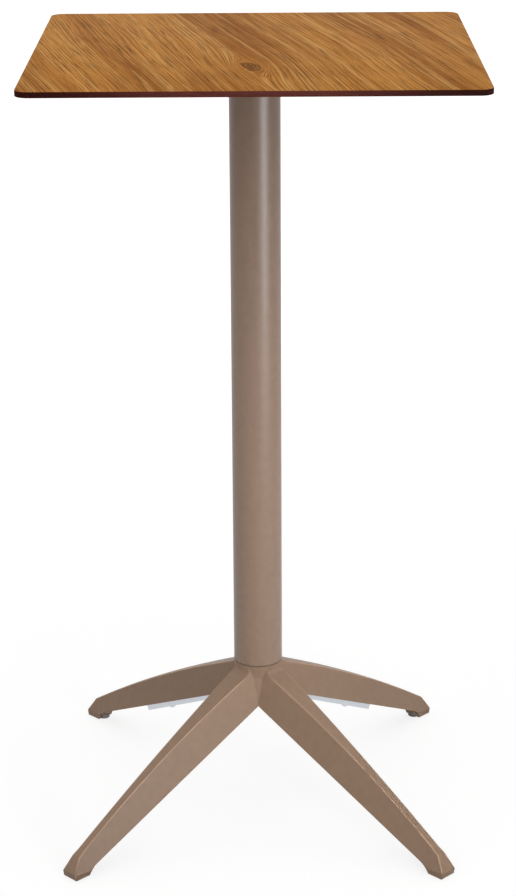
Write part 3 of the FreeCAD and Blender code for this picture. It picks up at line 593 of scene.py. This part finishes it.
class PEDESTAL_OT_glides(bpy.types.Operator):
    """Model the four nylon glide pads"""
    bl_idname = "pedestal.glides"
    bl_label = "Glide Pads"

    def execute(self, context):
        looks = context.scene.coat_looks
        material = nylon(looks)
        for leg in LEGS:
            low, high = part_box("glide_pad_" + leg)
            middle = (low + high) / 2
            radius = (high.x - low.x) / 2
            deselect()
            bpy.ops.mesh.primitive_cylinder_add(
                vertices=64, radius=radius, depth=high.z - low.z, location=middle)
            piece = context.object
            piece.name = "nylon_pad_" + leg
            bpy.ops.object.transform_apply(location=True, rotation=True, scale=True)
            pick(piece, "EDGE", lambda spots: all_at(spots, UP, low.z) or all_at(spots, UP, high.z))
            bpy.ops.mesh.bevel(offset=looks.pad_round, segments=5, affect="EDGES")
            pick(piece, "FACE", lambda spots: len(spots) > 4 and all_at(spots, UP, high.z))
            bpy.ops.mesh.inset(thickness=radius - looks.pad_round - looks.pad_socket)
            bpy.ops.mesh.extrude_region_move(
                TRANSFORM_OT_translate={"value": (0, 0, -looks.socket_depth)})
            pick(piece, "FACE", lambda spots: len(spots) > 4 and all_at(spots, UP, low.z))
            bpy.ops.mesh.inset(thickness=looks.recess_rim)
            bpy.ops.mesh.inset(thickness=looks.recess_slope)
            bpy.ops.transform.translate(value=(0, 0, looks.recess_depth))
            done(piece, "pad_" + leg, "glide_plastic", material, "glide_pad_" + leg)
        return {"FINISHED"}


class PEDESTAL_OT_fixings(bpy.types.Operator):
    """Finish the bars, screws, rod, bushes and spider"""
    bl_idname = "pedestal.fixings"
    bl_label = "Bars and Fixings"

    def execute(self, context):
        looks = context.scene.coat_looks
        zinc = plated("zinc_plate", tuple(looks.zinc), rough=0.34)
        brass = plated("brass_bush", tuple(looks.brass), rough=0.3)
        finish_node("top_spider", powder_coat("spider_coat", tuple(looks.spider), rough=0.4, gloss=0.4))
        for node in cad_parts:
            if node.startswith(("stiffener_bar", "bar_screws", "glide_stud", "tie_rod", "top_screws")):
                finish_node(node, zinc)
            if node.startswith(("glide_insert", "top_inserts")):
                finish_node(node, brass)
        return {"FINISHED"}


class PEDESTAL_OT_stage(bpy.types.Operator):
    """Set up the floor, the soft light and the camera"""
    bl_idname = "pedestal.stage"
    bl_label = "Studio Stage"

    def execute(self, context):
        looks = context.scene.stage_looks
        self.add_floor(looks)
        self.add_world(looks)
        key = self.add_lamp("key_light", looks.key_place, looks.key_aim, (0.8, 0.6), looks.key)
        key.visible_glossy = False
        key.data.spread = looks.spread
        sheen = self.add_lamp("sheen_strip", looks.sheen_place, looks.sheen_aim, (0.7, 1.2), looks.sheen)
        sheen.visible_diffuse = False
        self.add_camera(looks)
        context.scene.view_settings.view_transform = "Standard"
        return {"FINISHED"}

    def add_floor(self, looks):
        deselect()
        bpy.ops.mesh.primitive_plane_add(size=looks.floor_side, location=(0, 0, -looks.floor_drop))
        floor = bpy.context.object
        floor.name = "pale_floor"
        graph = Graph("pale_floor")
        tree = graph.tree
        cloud = graph.noise(graph.place, scale=0.6, detail=2)
        graph.set(Base_Color=graph.blend(cloud, solid((0.25,) * 3), solid((0.27,) * 3)), Roughness=0.9)
        graph.surface.inputs["Specular IOR Level"].default_value = 0.0
        rays = graph.add("LightPath").outputs
        seen = graph.math("MAXIMUM", rays["Is Camera Ray"], graph.math(
            "MAXIMUM", rays["Is Glossy Ray"], rays["Is Transmission Ray"]))
        glow = graph.add("Emission")
        away = graph.add("VectorMath", operation="LENGTH")
        graph.feed(away.inputs[0], graph.place)
        level = graph.span(away.outputs["Value"], 0.5, 3.0, 0.8, 0.94)
        graph.feed(glow.inputs["Strength"], graph.math("MULTIPLY", seen, level))
        total = graph.add("AddShader")
        tree.links.new(graph.surface.outputs[0], total.inputs[0])
        tree.links.new(glow.outputs[0], total.inputs[1])
        tree.links.new(total.outputs[0], tree.nodes["Material Output"].inputs["Surface"])
        floor.data.materials.append(graph.material)

    def add_world(self, looks):
        """Light from all round that grows towards the zenith, and plain white where it is seen."""
        world = bpy.data.worlds.new("studio")
        bpy.context.scene.world = world
        world.use_nodes = True
        tree = world.node_tree
        background = tree.nodes["Background"]
        rays = tree.nodes.new("ShaderNodeLightPath").outputs
        seen = tree.nodes.new("ShaderNodeMath")
        seen.operation = "MAXIMUM"
        shine = tree.nodes.new("ShaderNodeMath")
        shine.operation = "MAXIMUM"
        heading = tree.nodes.new("ShaderNodeSeparateXYZ")
        climb = tree.nodes.new("ShaderNodeMapRange")
        climb.inputs["To Min"].default_value = looks.horizon
        climb.inputs["To Max"].default_value = looks.zenith
        level = tree.nodes.new("ShaderNodeMapRange")
        level.inputs["To Max"].default_value = 1.0
        background.inputs["Color"].default_value = solid((1, 1, 1))
        for source, target in (
                (rays["Is Glossy Ray"], shine.inputs[0]),
                (rays["Is Transmission Ray"], shine.inputs[1]),
                (rays["Is Camera Ray"], seen.inputs[0]),
                (shine.outputs[0], seen.inputs[1]),
                (seen.outputs[0], level.inputs["Value"]),
                (tree.nodes.new("ShaderNodeTexCoord").outputs["Generated"], heading.inputs[0]),
                (heading.outputs["Z"], climb.inputs["Value"]),
                (climb.outputs[0], level.inputs["To Min"]),
                (level.outputs[0], background.inputs["Strength"])):
            tree.links.new(source, target)

    def add_lamp(self, name, place, height, size, power):
        """A soft lamp that the camera doesn't see, pointed at a height on the column."""
        lamp = bpy.data.lights.new(name, "AREA")
        lamp.shape = "RECTANGLE"
        lamp.size, lamp.size_y = size
        lamp.energy = power
        holder = bpy.data.objects.new(name, lamp)
        aim = Vector((0, 0, height)) - Vector(place)
        holder.location = place
        holder.rotation_euler = aim.to_track_quat("-Z", "Y").to_euler()
        holder.visible_camera = False
        bpy.context.scene.collection.objects.link(holder)
        return holder

    def add_camera(self, looks):
        right = Vector((math.cos(looks.yaw), -math.sin(looks.yaw), 0))
        level = math.cos(looks.pitch)
        ahead = Vector((math.sin(looks.yaw) * level, math.cos(looks.yaw) * level, -math.sin(looks.pitch)))
        up = right.cross(ahead)
        tilted = math.cos(looks.roll) * right + math.sin(looks.roll) * up
        crown = -math.sin(looks.roll) * right + math.cos(looks.roll) * up
        view = bpy.data.cameras.new("photo_view")
        view.lens = looks.lens
        view.sensor_width = 36
        view.clip_end = 200
        holder = bpy.data.objects.new("photo_view", view)
        facing = Matrix((tilted, crown, -ahead)).transposed().to_4x4()
        holder.matrix_world = Matrix.Translation(looks.eye) @ facing
        bpy.context.scene.collection.objects.link(holder)
        bpy.context.scene.camera = holder


PIECES = (PEDESTAL_OT_board, PEDESTAL_OT_column, PEDESTAL_OT_base, PEDESTAL_OT_glides,
          PEDESTAL_OT_fixings, PEDESTAL_OT_stage)


class PEDESTAL_PT_table(bpy.types.Panel):
    """Lists the table's pieces and finishes"""
    bl_label = "Pedestal Table"
    bl_idname = "PEDESTAL_PT_table"
    bl_space_type = "VIEW_3D"
    bl_region_type = "UI"
    bl_category = "Table"

    def draw(self, context):
        for operator in PIECES:
            self.layout.operator(operator.bl_idname)
        for group in (context.scene.board_looks, context.scene.coat_looks, context.scene.stage_looks):
            box = self.layout.box()
            for name in group.__annotations__:
                box.prop(group, name)


GROUPS = (("board_looks", BoardLooks), ("coat_looks", CoatLooks), ("stage_looks", StageLooks))


def register():
    for name, group in GROUPS:
        bpy.utils.register_class(group)
        setattr(bpy.types.Scene, name, bpy.props.PointerProperty(type=group))
    for item in (*PIECES, PEDESTAL_PT_table):
        bpy.utils.register_class(item)


def unregister():
    for item in reversed((*PIECES, PEDESTAL_PT_table)):
        bpy.utils.unregister_class(item)
    for name, group in reversed(GROUPS):
        delattr(bpy.types.Scene, name)
        bpy.utils.unregister_class(group)


def main():
    register()
    for step in ("board", "column", "base", "glides", "fixings", "stage"):
        getattr(bpy.ops.pedestal, step)()


if __name__ == "__main__":
    main()
